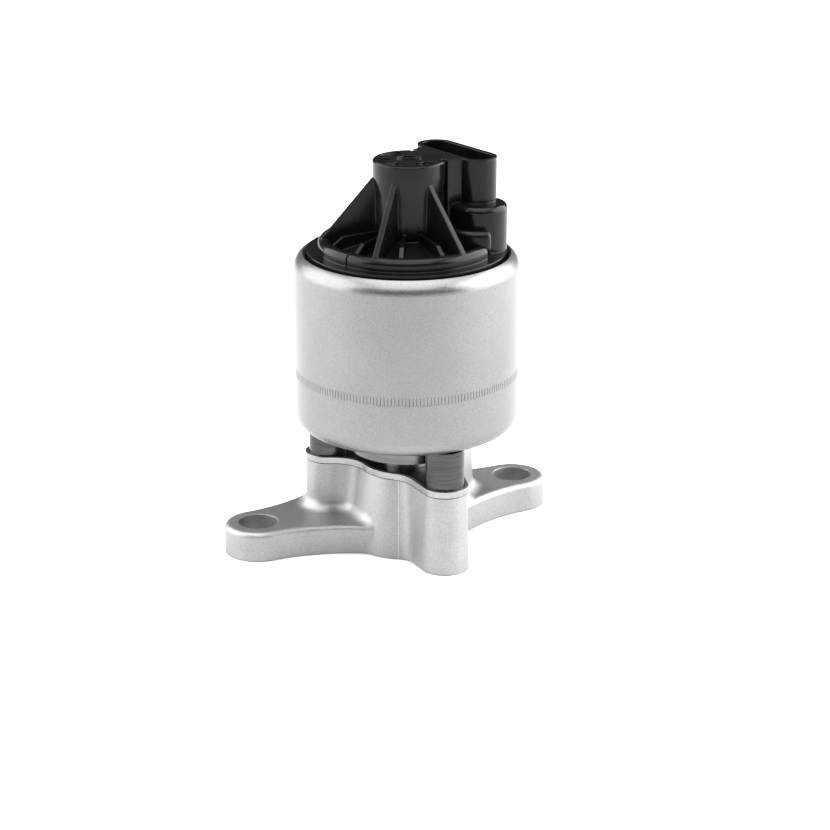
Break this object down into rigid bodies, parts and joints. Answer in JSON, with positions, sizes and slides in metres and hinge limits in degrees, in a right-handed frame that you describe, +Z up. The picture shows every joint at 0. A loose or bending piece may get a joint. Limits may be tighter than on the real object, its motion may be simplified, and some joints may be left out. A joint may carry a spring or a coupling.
{
  "type": "exhaust gas recirculation valve",
  "caption": "Solenoid valve on a cast two-eared base, with a stepped cup, a drawn steel can and a ribbed black sensor cap with a connector.",
  "frame": {"origin": "on the valve axis, in the bottom face of the flange", "axes": "+Z up the pintle from the base to the sensor cap, +X along the line of the two fixing bolts, +Y from the inlet port to the outlet port"},
  "size_m": [0.0892, 0.0628, 0.098],
  "materials": {
    "cast_aluminium": "bead-blasted die casting, satin",
    "plated_steel": "zinc-plated pressed steel, satin",
    "drawn_steel": "fine-grained drawn steel can, satin",
    "dark_steel": "dark oiled steel with turning marks",
    "hard_steel": "ground steel",
    "black_plastic": "glass-filled nylon, satin black",
    "bobbin_plastic": "natural nylon",
    "copper": "enamelled copper wire",
    "contact_metal": "tin-plated brass",
    "seal_rubber": "moulded rubber",
    "ceramic": "white ceramic with a printed track"
  },
  "bodies": {
    "valve_body": {"valve_base": "cast_aluminium", "valve_seat": "hard_steel", "shaft_bearing": "hard_steel", "cover_plate": "plated_steel", "standoffs": "dark_steel", "clamp_screws": "dark_steel", "seal_cup": "plated_steel", "shaft_seal": "seal_rubber", "solenoid_can": "drawn_steel", "lower_pole": "hard_steel", "guide_sleeve": "contact_metal", "upper_pole": "hard_steel", "coil_bobbin": "bobbin_plastic", "coil_winding": "copper", "coil_leads": "contact_metal", "terminal_carrier": "bobbin_plastic", "cap_gasket": "seal_rubber", "sensor_cap": "black_plastic", "connector_pins": "contact_metal", "sensor_track": "ceramic", "return_spring": "dark_steel", "sensor_spring": "dark_steel"},
    "pintle": {"pintle_shaft": "hard_steel", "valve_head": "hard_steel", "armature": "hard_steel", "retaining_ring": "dark_steel"},
    "sensor_slider": {"sensor_plunger": "bobbin_plastic", "wiper_contact": "contact_metal"}
  },
  "joints": [
    {"name": "pintle_slide", "type": "slide", "parent": "valve_body", "child": "pintle", "axis": [0, 0, 1], "range_m": [0, 0.0045], "stiffness_N_per_m": 900, "springref_m": -0.004, "deforming": ["return_spring"]},
    {"name": "plunger_slide", "type": "slide", "parent": "valve_body", "child": "sensor_slider", "axis": [0, 0, 1], "range_m": [0, 0.0045], "stiffness_N_per_m": 60, "springref_m": -0.002, "deforming": ["sensor_spring"]}
  ],
  "couplings": [
    {"joint": "plunger_slide", "follows": "pintle_slide", "ratio": 1}
  ]
}
